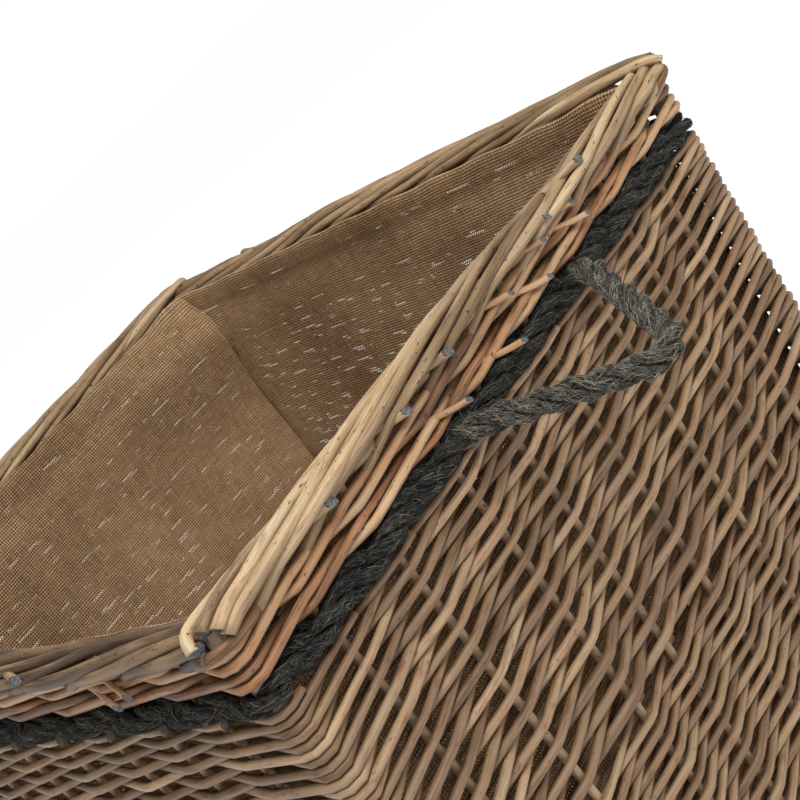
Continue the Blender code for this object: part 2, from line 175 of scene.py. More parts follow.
# The hem's section, in from the wall's middle and up from the hem's top
HEM_SECTION = ((0.0150, -0.0100), (0.0150, -0.0020), (0.0158, 0.0), (0.0169, -0.0012), (0.0172, -0.0060),
               (0.0166, -0.0105), (0.0156, -0.0160))
HEM_WAVE, HEM_WAVE_LONG = 0.0007, 0.052
HEM_RISE, RISE_AFTER, RISE_WIDE = 0.0040, 0.016, 0.030  # of the hem past each corner
WAVES = ((3, 0.0030), (7, 0.0018), (13, 0.0010))  # round the bag, and how far each bulges
WAVE_TILT = 4.0  # most that a wave may shift from hem to floor, in radians
HANG_SLOPE, FLOOR_SLOPE = 0.06, 0.04  # of all bulges under the hem and above the floor
POUCHES = (0.002, 0.006, 0.006, 0.004)  # by which the cloth bulges before each corner
POUCH_AWAY, POUCH_SWAY, SWAY_LONG = 0.0090, 0.30, 0.022  # of a bulge's crest from its corner
SLACKS = (0.000, 0.0275, 0.008, 0.002)  # by which the wall after each corner hangs in there
SLACK_BEFORE, SLACK_AFTER = 0.022, 0.090  # slopes of that on either side of the corner
SLACK_DEPTH, SLACK_LOSS, LOSS_SLOPE = 0.05, 0.35, 0.08  # where it is full, and share lost below
CORNER_NEAR = 0.0048  # from a post's middle to the cloth's corner, along each side
EARS = (1.0, 0.0, 1.0, 1.0)  # shares of that reach, by corner
EAR_WIDE = 0.012  # of the cloth on either side that is pulled out to there
EAR_LEAST, EAR_DEPTH, EAR_SLOPE = 0.2, 0.055, 0.025  # share of it at the hem, and where the rest starts
FOLD_SHADE_BEFORE, FOLD_SHADE_AFTER = 0.0110, 0.0015  # slopes of the painted shade in a corner's fold
FOLD_SHADE_DEPTH, FOLD_SHADE_SLOPE, FOOT_SLOPE = 0.02, 0.09, 0.03  # where it starts, grows, and fades above the floor
FLOOR_RINGS = 54
FLOOR_RISE, FLOOR_DIP = 0.0014, 0.0006  # above the base, and less in the middle
FLOOR_BUMP, BUMP_TURNS = 0.0008, (23, 29)  # its height, and radians a metre along X and Y

# One random number source, drawn from in the order in which the pieces are made
dice = np.random.default_rng(20261128)


def smooth(x):
    """0 up to 0, 1 from 1 on, and three x squared less two x cubed between."""
    x = np.clip(x, 0.0, 1.0)
    return x * x * (3 - 2 * x)


def unit(v):
    """Vectors of length 1."""
    return v / np.maximum(np.linalg.norm(v, axis=-1, keepdims=True), 1e-12)


def mix(a, b, share):
    """Straight from a to b."""
    return a + (b - a) * share


# The uprights, anticlockwise seen from above, starting at the corner nearest the camera

OUTWARD = {"right": (1.0, 0.0, 0.0), "back": (0.0, 1.0, 0.0),
           "left": (-1.0, 0.0, 0.0), "front": (0.0, -1.0, 0.0)}
END_STAKES = 8
SIDE_STAKES = 9


def points_of(node):
    """The points of a frame node, each once."""
    mesh = frame["nodes"][node].data
    flat = np.zeros(len(mesh.vertices) * 3, np.float32)
    mesh.vertices.foreach_get("co", flat)
    return np.unique(flat.reshape(-1, 3).astype(float).round(6), axis=0)


def ends_of(node):
    """Foot and top of an upright's middle line: the mean of its lower and of its upper points."""
    points = points_of(node)
    low = points[:, 2] < points[:, 2].mean()
    return points[low].mean(axis=0), points[~low].mean(axis=0)


UPRIGHTS = ["corner_post_front_right", *(f"stake_right_{i}" for i in range(1, END_STAKES + 1)),
            "corner_post_back_right", *(f"stake_back_{i}" for i in range(SIDE_STAKES, 0, -1)),
            "corner_post_back_left", *(f"stake_left_{i}" for i in range(1, END_STAKES + 1)),
            "corner_post_front_left", *(f"stake_front_{i}" for i in range(1, SIDE_STAKES + 1))]
COUNT = len(UPRIGHTS)
FOOT, TOP = (np.array(ends) for ends in zip(*(ends_of(name) for name in UPRIGHTS)))
IS_POST = np.array([name.startswith("corner") for name in UPRIGHTS])
STAKE_OUT = np.array([OUTWARD.get(name.split("_")[1], (0.0, 0.0, 0.0)) for name in UPRIGHTS])
BEFORE = np.where(IS_POST[:, None], np.roll(STAKE_OUT, 1, axis=0), STAKE_OUT)
AFTER = np.where(IS_POST[:, None], np.roll(STAKE_OUT, -1, axis=0), STAKE_OUT)
UPRIGHT_HALF = np.where(IS_POST, POST_THICK, STAKE_THICK) / 2
RIGHT_STAKE, BACK_STAKE = 1, 12  # a stake of each of these walls
SPACING = 2 * (TOP[RIGHT_STAKE, 0] + TOP[BACK_STAKE, 1]) * 2 / COUNT
POSTS = np.flatnonzero(IS_POST)

BORDER_LOW, BORDER_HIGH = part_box("border")
WALE_LOW, WALE_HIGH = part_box("top_wale")
ROPE_LOW, ROPE_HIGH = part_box("rope_band")
RAND_LOW, RAND_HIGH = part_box("upper_rand")
LOWER_LOW, LOWER_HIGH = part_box("lower_rand")
FOOT_LOW, FOOT_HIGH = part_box("foot_wale")
BASE_LOW, BASE_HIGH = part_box("base_weave")
BORDER_MIDDLE = (BORDER_LOW.z + BORDER_HIGH.z) / 2
ROPE_MIDDLE = (ROPE_LOW.z + ROPE_HIGH.z) / 2
HEM_TOP = BORDER_HIGH.z - HEM_DROP
LOOP_LINE = next(abs(joint["pos_m"][0]) for joint in frame["record"]["behaviour"]["joints"])


def upright_at(number, z):
    """Where an upright's middle line is at a height."""
    number = np.asarray(number) % COUNT
    share = (z - FOOT[number, 2]) / (TOP[number, 2] - FOOT[number, 2])
    return mix(FOOT[number], TOP[number], share[..., None])


def half_sizes(z):
    """Half the wall's length along X and its width along Y at a height, on its middle line."""
    z = np.asarray(z, float)
    right, back = (upright_at(np.full(z.shape, stake), z) for stake in (RIGHT_STAKE, BACK_STAKE))
    return right[..., 0], back[..., 1]


# Materials

class Value:
    """One output of a material's node. Python's operators on it add Math nodes."""

    def __init__(self, finish, socket):
        self.finish, self.socket = finish, socket

    def maths(self, operation, *values):
        return self.finish.node("Math", {"operation": operation}, dict(enumerate(values)))

    def __add__(self, other):
        return self.maths("ADD", self, other)

    def __sub__(self, other):
        return self.maths("SUBTRACT", self, other)

    def __mul__(self, other):
        return self.maths("MULTIPLY", self, other)

    def __truediv__(self, other):
        return self.maths("DIVIDE", self, other)

    def __rsub__(self, other):
        return self.maths("SUBTRACT", other, self)

    __radd__, __rmul__ = __add__, __mul__


class Finish:
    """A material, its Principled shader and what makes the nodes that feed it."""

    def __init__(self, name, roughness, specular=0.5):
        self.material = bpy.data.materials.new(name)
        self.material.use_nodes = True
        self.tree = self.material.node_tree
        self.shader = self.tree.nodes["Principled BSDF"]
        self.shader.inputs["Roughness"].default_value = roughness
        self.shader.inputs["Specular IOR Level"].default_value = specular

    def link(self, value, socket):
        """Feeds a node's socket with another node's output, or sets it."""
        if isinstance(value, Value):
            self.tree.links.new(value.socket, socket)
        elif value is not None:
            socket.default_value = value

    def node(self, kind, settings=None, values=None, output=0):
        """Adds a node, sets its settings and a ramp's stops first, then its sockets."""
        node = self.tree.nodes.new("ShaderNode" + kind)
        for key, setting in (settings or {}).items():
            if key == "stops":
                ramp = node.color_ramp
                while len(ramp.elements) < len(setting):
                    ramp.elements.new(1.0)
                for element, (place, shade) in zip(ramp.elements, setting):
                    element.position, element.color = place, colour(shade)
            else:
                setattr(node, key, setting)
        for key, value in (values or {}).items():
            self.link(value, node.inputs[key])
        return Value(self, node.outputs[output])

    def attribute(self, name, output="Fac"):
        """A piece's own attribute: Fac as a number, Vector as a vector."""
        return self.node("Attribute", {"attribute_name": name}, output=output)

    def parts(self, vector):
        """A vector's three numbers."""
        first = self.node("SeparateXYZ", {}, {0: vector})
        return [Value(self, socket) for socket in first.socket.node.outputs]

    def stretch(self, vector, scale):
        """A vector with each part scaled by itself."""
        return self.node("VectorMath", {"operation": "MULTIPLY"}, {0: vector, 1: scale})

    def noise(self, vector, scale=1.0, detail=2.0, roughness=0.5):
        """Soft noise about 0.5."""
        return self.node("TexNoise", {}, {
            "Vector": vector, "Scale": scale, "Detail": detail, "Roughness": roughness})

    def ramp(self, value, stops):
        """A colour off a ramp of (place, shade) stops."""
        return self.node("ValToRGB", {"stops": stops}, {"Fac": value})

    def span(self, value, low, high, to_low=0.0, to_high=1.0):
        """A value carried from one span to another, and held there."""
        return self.node("MapRange", {"interpolation_type": "SMOOTHSTEP"}, {
            "Value": value, "From Min": low, "From Max": high, "To Min": to_low, "To Max": to_high})

    def blend(self, share, base, shade, how="MIX"):
        """A colour with a share of a shade over it."""
        settings = {"data_type": "RGBA", "blend_type": how}
        return self.node("Mix", settings, {0: share, 6: base, 7: colour(shade)}, output=2)

    def feed(self, **sockets):
        """Feeds the Principled shader: colour, roughness, alpha or bump as (height, distance, strength)."""
        names = {"colour": "Base Color", "roughness": "Roughness", "alpha": "Alpha"}
        for key, value in sockets.items():
            if key == "bump":
                height, distance, strength = value
                value = self.node("Bump", {}, {"Height": height, "Distance": distance, "Strength": strength})
                self.link(value, self.shader.inputs["Normal"])
            else:
                self.link(value, self.shader.inputs[names[key]])
        return self.material


def colour(shade):
    """A shade as a screen shows it, red, green and blue from 0 to 255, in the light that it stands for."""
    shown = np.array(shade) / 255
    return (*np.where(shown <= 0.04045, shown / 12.92, ((shown + 0.055) / 1.055) ** 2.4), 1.0)


def willow(name, stops, roughness=0.5, speckle=1.0):
    """Willow rods: a tone for each rod, streaks along it, worn and stained lengths, dark flecks, and painted
    shade on each rod's lower side.

    The grain gives a point's distance along its rod, and how far out and up it lies from the middle.
    """
    finish = Finish(name, roughness, 0.4)
    grain = finish.attribute("grain", "Vector")
    tone = finish.attribute("tone")
    streak = finish.noise(finish.stretch(grain, (26.0, 1300.0, 1300.0)), detail=3.0, roughness=0.7)
    broad = finish.noise(finish.stretch(grain, (18.0, 120.0, 120.0)), detail=2.0)
    stain = finish.noise(finish.stretch(grain, (60.0, 300.0, 300.0)), detail=3.0, roughness=0.6)
    fleck = finish.noise(finish.stretch(grain, (210.0, 560.0, 560.0)), detail=1.0)
    place = tone * 0.50 + streak * 0.80 + broad * 0.60 - 0.45
    base = finish.ramp(place, stops)
    base = finish.blend(finish.span(stain, 0.52, 0.72, 0.0, 0.6), base, (178, 132, 90), "MULTIPLY")
    base = finish.blend(finish.span(broad, 0.54, 0.70, 0.0, 0.40), base, (134, 118, 94))
    dark = finish.span(fleck, 0.69, 0.75, 0.0, 0.9 * speckle)
    base = finish.blend(dark, base, (48, 32, 22))
    # Painted shade: each rod is darkened on its lower side, as if shaded from light above.
    painted_underside_shade = finish.span(finish.parts(grain)[2], -0.0030, 0.0008, 0.55, 0.0)
    base = finish.blend(painted_underside_shade, base, (140, 116, 96), "MULTIPLY")
    return finish.feed(
        colour=base, roughness=finish.span(streak, 0.3, 0.7, roughness - 0.08, roughness + 0.12),
        bump=(streak + dark * 0.5, 0.0005, 0.5))


def cut_willow():
    """The slanted cut at a rod's end: grey and blue from weather, with a paler pith."""
    finish = Finish("cut_willow", 0.75, 0.2)
    grain = finish.attribute("grain", "Vector")
    ring = finish.noise(finish.stretch(grain, (300.0, 1400.0, 1400.0)), detail=3.0)
    base = finish.ramp(ring, [(0.3, (48, 52, 55)), (0.55, (96, 99, 99)), (0.8, (146, 142, 130))])
    return finish.feed(colour=base, bump=(ring, 0.0004, 0.5))


def hessian():
    """Brown hessian in plain weave, its threads along the two lengths of the map named cloth.

    Across a thread its height is the sine of the way through its pitch. Where the product of both
    threads' sines is positive the upright thread lies on top, and elsewhere the level one. Where both
    are low is a pore, painted dark as shade, and in thinner stretches of the cloth light passes there.
    The threads' highest parts get a painted highlight, and the folds of the corners painted shade.
    """
    finish = Finish("brown_hessian", 0.9, 0.15)
    place = finish.node("UVMap", {"uv_map": "cloth"})
    u, v = finish.parts(place)[:2]
    drift = finish.noise(finish.stretch(place, (30.0, 30.0, 0.0)), detail=1.0) * 0.9
    warp, weft = (u / THREAD + drift) * math.pi, (v / THREAD + drift) * math.pi
    warp, weft = (angle.maths("SINE", angle) for angle in (warp, weft))
    upright, level = (wave.maths("ABSOLUTE", wave) for wave in (warp, weft))
    over = warp * weft * 0.5
    top, under = upright + over, level - over
    height = top.maths("MAXIMUM", top, under)
    slub_up = finish.noise(finish.stretch(place, (1 / THREAD, 60.0, 0.0)), detail=2.0)
    slub_level = finish.noise(finish.stretch(place, (60.0, 1 / THREAD, 0.0)), detail=2.0)
    shown = finish.span(top - under, -0.1, 0.1)
    slub = slub_level + (slub_up - slub_level) * shown
    cloud = finish.noise(finish.stretch(place, (9.0, 9.0, 0.0)), detail=3.0)
    # Painted highlight: the threads are painted lighter where they stand highest.
    crown_highlight = finish.span(height, 0.75, 1.45)
    tone = slub * 0.65 + crown_highlight * 0.30 + cloud * 0.50 - 0.33
    base = finish.ramp(tone, [(0.10, (94, 70, 48)), (0.35, (142, 112, 82)),
                              (0.60, (188, 156, 118)), (0.90, (226, 198, 160))])
    low_up, low_level = (finish.span(wave, PORE - 0.05, PORE + 0.05, 1.0, 0.0) for wave in (upright, level))
    pore = low_up * low_level
    thin = finish.span(finish.noise(finish.stretch(place, (42.0, 260.0, 0.0)), detail=1.0), 0.51, 0.58)
    # Painted shade: the pores are painted dark, as shade between the threads, where the cloth stays whole.
    base = finish.blend(pore * 0.6, base, (58, 40, 26))
    # Painted shade, darker in the folds of the corners.
    base = finish.blend(finish.attribute("soil"), base, (78, 54, 34), "MULTIPLY")
    return finish.feed(colour=base, alpha=1 - pore * thin, bump=(height, 0.0006, 0.8))


def jute(name, light):
    """Charcoal dyed jute: yarns along the strand, pale fibres over a dark ground. Light scales its shades, as
    painted light and shade for each copy.
    """
    finish = Finish(name, 0.95, 0.15)
    grain = finish.attribute("grain", "Vector")
    yarn = finish.noise(finish.stretch(grain, (70.0, 650.0, 650.0)), detail=3.0, roughness=0.7)
    fibre = finish.noise(finish.stretch(grain, (220.0, 1500.0, 1500.0)), detail=3.0, roughness=0.75)
    patch = finish.noise(finish.stretch(grain, (60.0, 150.0, 150.0)), detail=2.0)
    hair = finish.span(fibre, 0.38, 0.64, 0.0, 0.34)
    base = finish.ramp(yarn * 0.4 + hair + patch * 0.3 - 0.08, [
        (place, [light * part for part in shade]) for place, shade in (
            (0.26, (13, 13, 13)), (0.42, (38, 38, 37)), (0.54, (76, 74, 70)), (0.68, (126, 122, 112)))])
    return finish.feed(colour=base, bump=(yarn * 0.6 + fibre, 0.0012, 0.9))


def fibres(name, stops):
    """The rope's single fibres, most of them dark and a few pale."""
    finish = Finish(name, 0.8, 0.2)
    return finish.feed(colour=finish.ramp(finish.attribute("tone"), stops))


# Meshes

def place_in_scene(name, data):
    """An object at the origin, in the scene."""
    item = bpy.data.objects.new(name, data)
    bpy.context.scene.collection.objects.link(item)
    return item


class Piece:
    """Gathers tubes and grids, and makes one mesh of them."""

    def __init__(self):
        self.points, self.faces, self.kinds, self.grain, self.tone = [], [], [], [], []
        self.total = 0

    def add(self, points, faces, kinds, grain, tone):
        """Adds points, lists of faces with a material number for each, and the points' own values."""
        self.points.append(points.reshape(-1, 3))
        self.grain.append(grain.reshape(-1, 3))
        self.tone.append(np.broadcast_to(tone, points.shape[:-1]).ravel())
        for face, kind in zip(faces, kinds):
            self.faces.append(face + self.total)
            self.kinds.append(np.full(len(face), kind))
        self.total += len(self.points[-1])

    def rods(self, lines, half, sides=ROD_SIDES, tone=None, level=UP, slant=0.0, yarns=0):
        """Adds a round rod along each line of points, closed at both ends.

        A point of ring s at angle v lies half[s] away from the line, at cos v out and sin v up, where
        out is square to the line and to level. The ends are flat, cut at a slant. With yarns, a point
        lies nearer by up to YARN_DEPTH of that, as the sine of yarns times v less the turns of a yarn.
        """
        count, steps = lines.shape[:2]
        half = np.broadcast_to(half, (count, steps))
        ahead = unit(np.gradient(lines, axis=1))
        out = unit(np.cross(ahead, level))
        up = np.cross(out, ahead)
        angle = TURN * np.arange(sides) / sides
        ring = (np.cos(angle)[:, None] * out[:, :, None] + np.sin(angle)[:, None] * up[:, :, None])
        run = np.zeros((count, steps))
        run[:, 1:] = np.linalg.norm(np.diff(lines, axis=1), axis=-1).cumsum(axis=1)
        swell = np.ones((count, steps, sides))
        if yarns:
            swell -= YARN_DEPTH * np.abs(np.sin(yarns / 2 * (angle - TURN * run[..., None] / YARN_LAY)))
        ring = ring * (half[:, :, None] * swell)[..., None] + lines[:, :, None]
        lean = slant * half[:, (0, -1)]
        ring[:, 0] -= (lean[:, 0, None] * np.sin(angle))[..., None] * ahead[:, 0, None]
        ring[:, -1] += (lean[:, 1, None] * np.sin(angle))[..., None] * ahead[:, -1, None]
        run += dice.uniform(0.0, GRAIN_SPREAD, (count, 1))
        grain = np.stack(np.broadcast_arrays(
            run[..., None], half[..., None] * np.cos(angle), half[..., None] * np.sin(angle)), axis=-1)
        tone = dice.uniform(0.0, 1.0, count) if tone is None else np.broadcast_to(tone, count)
        ends = lines[:, (0, -1)]
        ends_grain = np.zeros((count, 2, 3))
        ends_grain[..., 0] = run[:, (0, -1)]
        points = np.concatenate([ring.reshape(count, -1, 3), ends], axis=1)
        grain = np.concatenate([grain.reshape(count, -1, 3), ends_grain], axis=1)
        s, v = np.meshgrid(np.arange(steps - 1), np.arange(sides), indexing="ij")
        w = (v + 1) % sides
        wall = np.stack([s * sides + v, (s + 1) * sides + v, (s + 1) * sides + w, s * sides + w], axis=-1)
        v = np.arange(sides)
        w = (v + 1) % sides
        last = (steps - 1) * sides
        middle = np.full(sides, steps * sides)
        caps = np.concatenate([np.stack([middle, v, w], axis=-1),
                               np.stack([middle + 1, last + w, last + v], axis=-1)])
        each = (np.arange(count) * (steps * sides + 2))[:, None, None]
        self.add(points, [(wall.reshape(1, -1, 4) + each).reshape(-1, 4), (caps[None] + each).reshape(-1, 3)],
                 [0, 1], grain, tone[:, None])

    def make(self, name, materials, replaced=(), body="basket"):
        """Makes the object."""
        mesh = bpy.data.meshes.new(name)
        points = np.concatenate(self.points)
        mesh.vertices.add(len(points))
        mesh.vertices.foreach_set("co", points.ravel())
        corners = np.concatenate([face.ravel() for face in self.faces])
        widths = np.concatenate([np.full(len(face), face.shape[1]) for face in self.faces])
        mesh.loops.add(len(corners))
        mesh.loops.foreach_set("vertex_index", corners)
        mesh.polygons.add(len(widths))
        mesh.polygons.foreach_set("loop_start", np.cumsum(widths) - widths)
        kinds = np.concatenate(self.kinds)
        mesh.polygons.foreach_set("material_index", kinds)
        mesh.polygons.foreach_set("use_smooth", kinds == 0)
        mesh.update(calc_edges=True)
        mesh.attributes.new("grain", "FLOAT_VECTOR", "POINT").data.foreach_set(
            "vector", np.concatenate(self.grain).ravel())
        mesh.attributes.new("tone", "FLOAT", "POINT").data.foreach_set("value", np.concatenate(self.tone))
        for material in materials:
            mesh.materials.append(material)
        piece = place_in_scene(name, mesh)
        if body:
            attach(piece, body)
        if replaced:
            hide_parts(*replaced)
        return piece


# Weaving

def hermite(start, end, start_way, end_way, steps):
    """Points of a cubic from start on, without its end, that leaves and arrives along given ways.

    Its speed at both ends is the distance from start to end. At t it is start times 2t3 - 3t2 + 1, end
    times 3t2 - 2t3, and the speeds times t3 - 2t2 + t and t3 - t2, where tn is t to the power of n.
    """
    t = (np.arange(steps) / steps)[:, None]
    speed = np.linalg.norm(end - start, axis=-1)[..., None, None]
    start, end, start_way, end_way = (x[..., None, :] for x in (start, end, start_way, end_way))
    return ((2 * t ** 3 - 3 * t ** 2 + 1) * start + (3 * t ** 2 - 2 * t ** 3) * end
            + (t ** 3 - 2 * t ** 2 + t) * speed * start_way + (t ** 3 - t ** 2) * speed * end_way)


def weave(stops, heights, reach, lead, tail, steps=4, stiff=0.8):
    """Middle lines of rods that pass a row of uprights, each on its outer or its inner side.

    Past a stake a line keeps its reach from the stake's middle for a short straight run. Outside a
    corner post it follows an arc about the post, and inside a post a small arc in the corner. From one
    upright to the next it is a cubic. It leaves and arrives along the wall if stiff is 0, and straight
    towards the next upright if stiff is 1.
    """
    heights = np.broadcast_to(heights, stops.shape)
    before, after = BEFORE[stops % COUNT], AFTER[stops % COUNT]
    post = IS_POST[stops % COUNT][..., None]
    reach = np.broadcast_to(reach, stops.shape)[..., None]
    inside = post & (reach < 0)
    middle = upright_at(stops, heights) + np.where(inside, (reach - CORNER_BEND) * (before + after), 0.0)
    arm = np.where(inside, CORNER_BEND, reach)
    hug = np.where(post, 0.0, HUG)
    climb = (np.gradient(heights, axis=-1) if stops.shape[-1] > 1 else heights * 0)[..., None] / SPACING * UP
    ways = [unit(np.cross(UP, out) + climb) for out in (before, unit(before + after), after)]
    first = middle + arm * before - hug * ways[0]
    second = middle + arm * unit(before + after)
    third = middle + arm * after + hug * ways[2]
    straight = unit(first[..., 1:, :] - third[..., :-1, :])
    runs = hermite(third[..., :-1, :], first[..., 1:, :], unit(mix(ways[2][..., :-1, :], straight, stiff)),
                   unit(mix(ways[0][..., 1:, :], straight, stiff)), steps)
    passes = np.concatenate([first[..., :-1, None, :], second[..., :-1, None, :], runs], axis=-2)
    passes = passes.reshape(*passes.shape[:-3], -1, 3)
    start = first[..., :1, :] - lead * ways[0][..., :1, :]
    end = third[..., -1:, :] + tail * ways[2][..., -1:, :]
    last = [corner[..., -1:, :] for corner in (first, second, third)]
    return np.concatenate([start, passes, *last, end], axis=-2)


def french_rand(name, low, high, layers):
    """A band of French rand: one rod to each upright, and each climbs a layer at every upright.

    A rod and its layers get thinner from its butt to its tip. It lies outside the stake at every other
    layer, and outside each corner post.
    """
    layer = np.arange(layers)
    share = (layer + 0.5) / layers
    pitch = mix(*RAND_PITCH, share)
    z = low + (pitch.cumsum() - pitch / 2) * (high - low) / pitch.sum()
    stops = (np.arange(COUNT)[:, None] + layer) % COUNT
    own = np.clip(dice.normal(1.0, RAND_SPREAD, (COUNT, 1)), *RAND_LIMITS)
    shake = dice.normal(0.0, RAND_SHAKE, stops.shape)
    side = np.where(IS_POST[stops] | (layer % 2 == 1), 1.0, -1.0)
    reach = side * (UPRIGHT_HALF[stops] + mix(*RAND_THICK, share) / 2 * own)
    reach = reach * dice.normal(1.0, RAND_SWAY, stops.shape)
    lines = weave(stops, z + shake, reach, *RAND_ENDS)
    piece = Piece()
    piece.rods(lines, mix(*RAND_THICK, np.linspace(0.0, 1.0, lines.shape[1])) / 2 * own)
    return piece.make(name, [RAND_SKIN, CUT], [name])


def build_uprights():
    """Side stakes and corner posts as round tapered sticks in their frame nodes' places."""
    for name, post, material, slot in (("stakes", False, STAKE_SKIN, "buff_willow"),
                                       ("corner_posts", True, POST_SKIN, "grey_willow")):
        chosen = np.flatnonzero(IS_POST == post)
        share = np.linspace(0.0, 1.0, UPRIGHT_RINGS)[:, None]
        lines = mix(FOOT[chosen][:, None], TOP[chosen][:, None], share)
        lines[..., :2] += dice.normal(0.0, UPRIGHT_SHAKE, (len(chosen), UPRIGHT_RINGS, 2))
        half = UPRIGHT_HALF[chosen][:, None] * mix(*UPRIGHT_TAPER, share[:, 0])
        piece = Piece()
        piece.rods(lines, half, sides=12, level=np.array([1.0, 0.0, 0.0]))
        piece.make(name, [material, CUT], [UPRIGHTS[i] for i in chosen])


def through(points, steps):
    """A smooth line through points: between two of them a cubic along the ways to their neighbours."""
    ways = unit(np.gradient(points, axis=0))
    runs = hermite(points[:-1], points[1:], ways[:-1], ways[1:], steps)
    return np.concatenate([runs.reshape(-1, 3), points[-1:]])


def run_of(line):
    """Distance along a line at each of its points."""
    return np.concatenate([[0.0], np.linalg.norm(np.diff(line, axis=0), axis=1).cumsum()])


def read_along(line, run, places):
    """A line's values at distances along it."""
    return np.stack([np.interp(places, run, line[:, axis]) for axis in range(3)], axis=1)


def wale(name, low, high, material, thick):
    """A three rod wale. Each rod passes outside two uprights, a strand higher at the second, and inside
    the third.

    The two corner posts on the left count as one with the stake before, so that the pattern closes. Each
    weaver's round is made of several rods, and each starts and ends inside.
    """
    counted = ~np.isin(UPRIGHTS, ("corner_post_back_left", "corner_post_front_left"))
    strand = (high - low) / (2 * WALE_ROUNDS)
    piece = Piece()
    for number in range(WALE_ROUNDS):
        for weaver in range(3):
            phase = (counted.cumsum() + weaver) % 3
            inside = np.flatnonzero(phase == 2)
            starts = inside[(weaver + 2 * number) % 4::4]
            for start, end in zip(starts, [*starts[1:], starts[0] + COUNT]):
                stops = np.arange(start, end + 1)
                here = phase[stops % COUNT]
                z = low + strand * (2 * number + np.array([0.5, 1.5, 1.0])[here])
                half = thick / 2 * mix(*WALE_TAPER, np.linspace(0.0, 1.0, len(stops)))
                z = np.maximum(z + dice.normal(0.0, WALE_SHAKE, len(stops)), low + WALE_REST * half)
                reach = np.where(here == 2, -1.0, 1.0) * (UPRIGHT_HALF[stops % COUNT] + half)
                reach = reach * dice.normal(1.0, WALE_SWAY, len(stops))
                line = weave(stops[None], z[None], reach[None], WALE_HIDDEN, WALE_HIDDEN, steps=6, stiff=0.85)
                piece.rods(line, thick / 2 * np.linspace(*WALE_TAPER, line.shape[1]), sides=12)
    return piece.make(name, [material, CUT], [name])


class Side:
    """One side of the border: distances along it, out of the wall's middle line, and up."""

    def __init__(self, post):
        numbers = np.arange(post, next((other for other in POSTS if other > post), COUNT))
        self.nearest = post == 0
        self.out = AFTER[post]
        self.along = np.cross(UP, self.out)
        sizes = np.array([*half_sizes(BORDER_MIDDLE), 0.0])
        self.reach = abs(self.out @ sizes)
        self.half = abs(self.along @ sizes)
        self.starts = upright_at(numbers, np.full(len(numbers), BORDER_MIDDLE)) @ self.along + self.half

    def place(self, along, out, z):
        """Points at distances along the side, out of its middle line, and at heights."""
        along, out, z = (np.asarray(value, float)[..., None] for value in (along, out, z))
        return (along - self.half) * self.along + (self.reach + out) * self.out + z * UP


def border_line(side, start, low, high, wide, tall):
    """Middle line of one border rod along a side, between two distances.

    Its angle round the roll grows evenly from the outer foot over the crest to the inner foot in
    BORDER_SPACINGS spacings, and then under the roll in one more. It rises out of its stake first. Cut
    ends droop at the side's start, and at the side's end the roll dips under the next one.
    """
    along = np.append(np.arange(low, high - BORDER_STEP / 2, BORDER_STEP), high)
    gone = (along - start) / SPACING
    angle = BORDER_START + BORDER_SWEEP * np.clip(gone / BORDER_SPACINGS, 0.0, 1.0)
    angle = angle + BORDER_UNDER * smooth(gone - BORDER_SPACINGS)
    rising = smooth((along - start) / BORDER_RISE)
    out = wide * np.cos(angle) * rising
    z = mix(BORDER_LOW.z - BORDER_THICK, BORDER_MIDDLE + tall * np.sin(angle), rising)
    if start < 0:
        z = z - CORNER_DROOP * (1 - smooth((along - DROOP_FROM) / DROOP_RUN))
    z = z - CORNER_DIP * smooth((along - 2 * side.half + CORNER_RUN) / CORNER_SLOPE)
    knots = np.linspace(along[0], along[-1], BORDER_KNOTS)
    out = out + np.interp(along, knots, dice.normal(0.0, BORDER_SHAKE, BORDER_KNOTS))
    z = z + np.interp(along, knots, dice.normal(0.0, BORDER_SHAKE, BORDER_KNOTS))
    return side.place(along, out, z)


def short_ends(piece, side, given, chance, out, root, half, tone=None):
    """Rods that come out from behind others, from a height, and end in a slanted cut.

    They lie as given on the side nearest the camera, and elsewhere by chance: (how many, least and most
    below the crest). Root takes the height of the cut and gives that of the hidden start.
    """
    places = given
    if not side.nearest:
        count, least, most = chance
        along = dice.uniform(MARGIN, 2 * side.half - MARGIN, count)
        places = np.stack([along, dice.uniform(least, most, count)], axis=1)
    ahead, outward, share = np.array(END_WAY).T
    for along, drop in places:
        z = BORDER_HIGH.z - drop
        line = through(side.place(along + ahead, out + outward, mix(z, root(z), share)), 4)
        shade = dice.uniform(0.5, 1.0) if tone is None else tone
        piece.rods(line[None], half, sides=12, tone=shade, level=side.out + 0.5 * UP, slant=-1.6)


